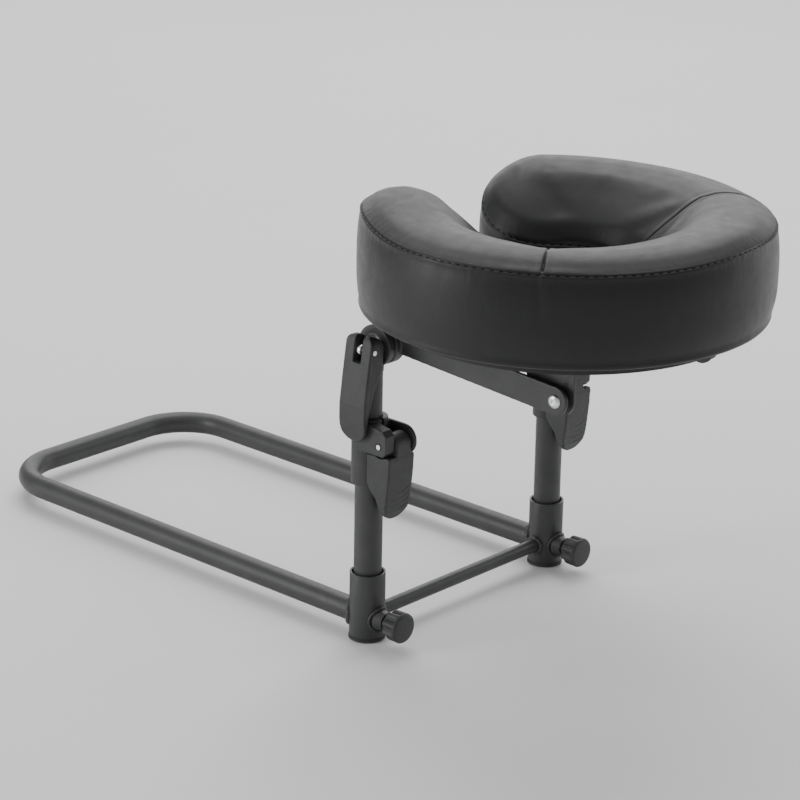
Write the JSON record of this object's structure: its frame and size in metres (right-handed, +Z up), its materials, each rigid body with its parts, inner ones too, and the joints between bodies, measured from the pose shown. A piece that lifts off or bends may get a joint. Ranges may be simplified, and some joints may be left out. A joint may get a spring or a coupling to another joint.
{
  "type": "massage face cradle",
  "caption": "Horseshoe face cushion on a tilting, height-adjustable two-post frame whose flat U loop slides under a mattress.",
  "frame": {"origin": "midway between the two post axes, on the axis of the loop tube where the loop leaves the mattress", "axes": "+X from the cam-lever side to the plain side, +Y along the loop into the mattress, +Z up"},
  "size_m": [0.309, 0.694, 0.3515],
  "materials": {
    "frame": "semi-gloss black powder coat",
    "plastic": "black moulded nylon, fine grain",
    "bright": "bright zinc plate",
    "board": "plywood with black stain",
    "strip": "black woven hook and loop tape",
    "foam": "open cell polyurethane foam",
    "leather": "black satin PU leather"
  },
  "bodies": {
    "base": {"loop_tube": "frame", "cross_bar": "frame", "near_socket": "frame", "far_socket": "frame", "socket_liners": "plastic", "knob_bosses": "frame"},
    "near_knob": {"near_knob": "plastic", "near_knob_stud": "bright"},
    "far_knob": {"far_knob": "plastic", "far_knob_stud": "bright"},
    "posts": {"near_post": "frame", "far_post": "frame", "post_end_caps": "plastic", "near_clamp": "plastic", "far_clamp": "plastic", "lever_pins": "bright"},
    "near_flip_lever": {"near_flip_lever": "plastic"},
    "far_flip_lever": {"far_flip_lever": "plastic"},
    "risers": {"near_riser": "frame", "far_riser": "frame", "near_head": "frame", "far_head": "frame", "head_washers": "bright", "head_discs": "plastic", "draw_rod": "bright", "cam_pin": "bright", "cap_nut": "bright"},
    "cam_lever": {"cam_lever": "plastic"},
    "arms": {"near_arm": "frame", "far_arm": "frame", "arm_discs": "plastic", "spreader_tube": "frame", "rivets": "bright", "rivet_spacers": "plastic"},
    "platform": {"near_bracket": "frame", "far_bracket": "frame", "bracket_screws": "bright", "platform_board": "board", "hook_strips": "strip", "loop_strips": "strip", "cushion_foam": "foam", "cover_base": "leather", "cover_band": "leather", "front_panel": "leather", "near_panel": "leather", "far_panel": "leather"}
  },
  "joints": [
    {"name": "near_knob_turn", "type": "hinge", "parent": "base", "child": "near_knob", "pos_m": [-0.1075, -0.03, 0], "axis": [0, -1, 0], "range_deg": [0, 720]},
    {"name": "far_knob_turn", "type": "hinge", "parent": "base", "child": "far_knob", "pos_m": [0.1075, -0.03, 0], "axis": [0, -1, 0], "range_deg": [0, 720]},
    {"name": "posts_slide", "type": "slide", "parent": "base", "child": "posts", "axis": [0, 0, 1], "range_m": [-0.07, 0.008]},
    {"name": "near_flip_lever_turn", "type": "hinge", "parent": "posts", "child": "near_flip_lever", "pos_m": [-0.1075, -0.022, 0.148], "axis": [-1, 0, 0], "range_deg": [0, 90]},
    {"name": "far_flip_lever_turn", "type": "hinge", "parent": "posts", "child": "far_flip_lever", "pos_m": [0.1075, -0.022, 0.148], "axis": [-1, 0, 0], "range_deg": [0, 90]},
    {"name": "risers_slide", "type": "slide", "parent": "posts", "child": "risers", "axis": [0, 0, 1], "range_m": [-0.002, 0.06]},
    {"name": "cam_lever_turn", "type": "hinge", "parent": "risers", "child": "cam_lever", "pos_m": [-0.1173, 0, 0.2195], "axis": [0, 1, 0], "range_deg": [0, 95]},
    {"name": "arms_tilt", "type": "hinge", "parent": "risers", "child": "arms", "pos_m": [0, 0, 0.2195], "axis": [1, 0, 0], "range_deg": [-45, 25]},
    {"name": "platform_tilt", "type": "hinge", "parent": "arms", "child": "platform", "pos_m": [0, -0.1665, 0.214], "axis": [1, 0, 0], "range_deg": [0, 40]}
  ]
}
